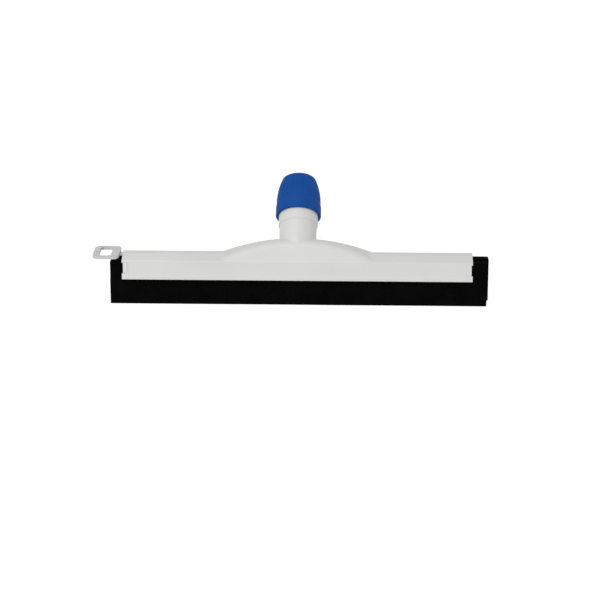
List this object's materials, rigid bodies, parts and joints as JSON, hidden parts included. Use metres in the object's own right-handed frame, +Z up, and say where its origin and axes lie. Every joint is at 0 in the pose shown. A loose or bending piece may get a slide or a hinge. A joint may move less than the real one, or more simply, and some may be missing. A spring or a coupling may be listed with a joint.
{
  "type": "floor squeegee head",
  "caption": "Floor squeegee head with an arched white frame, sloping screw-clamped handle socket and a slide-in cassette of twin foam rubber blades.",
  "frame": {"origin": "on the floor, midway between the two blades and under the socket's axis", "axes": "+X along the blades, away from the pull ring; +Y towards the side the socket leans to; +Z up"},
  "size_m": [0.3682, 0.0879, 0.1111],
  "materials": {
    "white_plastic": "fine satin moulded polypropylene",
    "blue_plastic": "semi-gloss moulded polypropylene",
    "grey_plastic": "satin moulded polypropylene",
    "collet_plastic": "satin acetal",
    "foam_rubber": "cellular natural rubber",
    "strip_metal": "mill finish",
    "rivet_metal": "bright"
  },
  "bodies": {
    "frame": {"frame_body": "white_plastic"},
    "collet": {"split_collet": "collet_plastic"},
    "collar": {"lock_collar": "blue_plastic"},
    "cassette": {"blade_carrier": "grey_plastic", "front_foam_blade": "foam_rubber", "rear_foam_blade": "foam_rubber", "front_clamp_strip": "strip_metal", "rear_clamp_strip": "strip_metal", "blade_rivets": "rivet_metal"}
  },
  "joints": [
    {"name": "collar_turn", "type": "hinge", "parent": "collet", "child": "collar", "pos_m": [0, 0.04674, 0.08784], "axis": [0, 0.7071, 0.7071], "range_deg": [0, 1080]},
    {"name": "collet_slide", "type": "slide", "parent": "frame", "child": "collet", "axis": [0, 0.7071, 0.7071], "range_m": [0, 0.012]},
    {"name": "cassette_slide", "type": "slide", "parent": "frame", "child": "cassette", "axis": [-1, 0, 0], "range_m": [0, 0.345]}
  ],
  "couplings": [
    {"joint": "collet_slide", "follows": "collar_turn", "m_per_rad": 0.00063662}
  ]
}
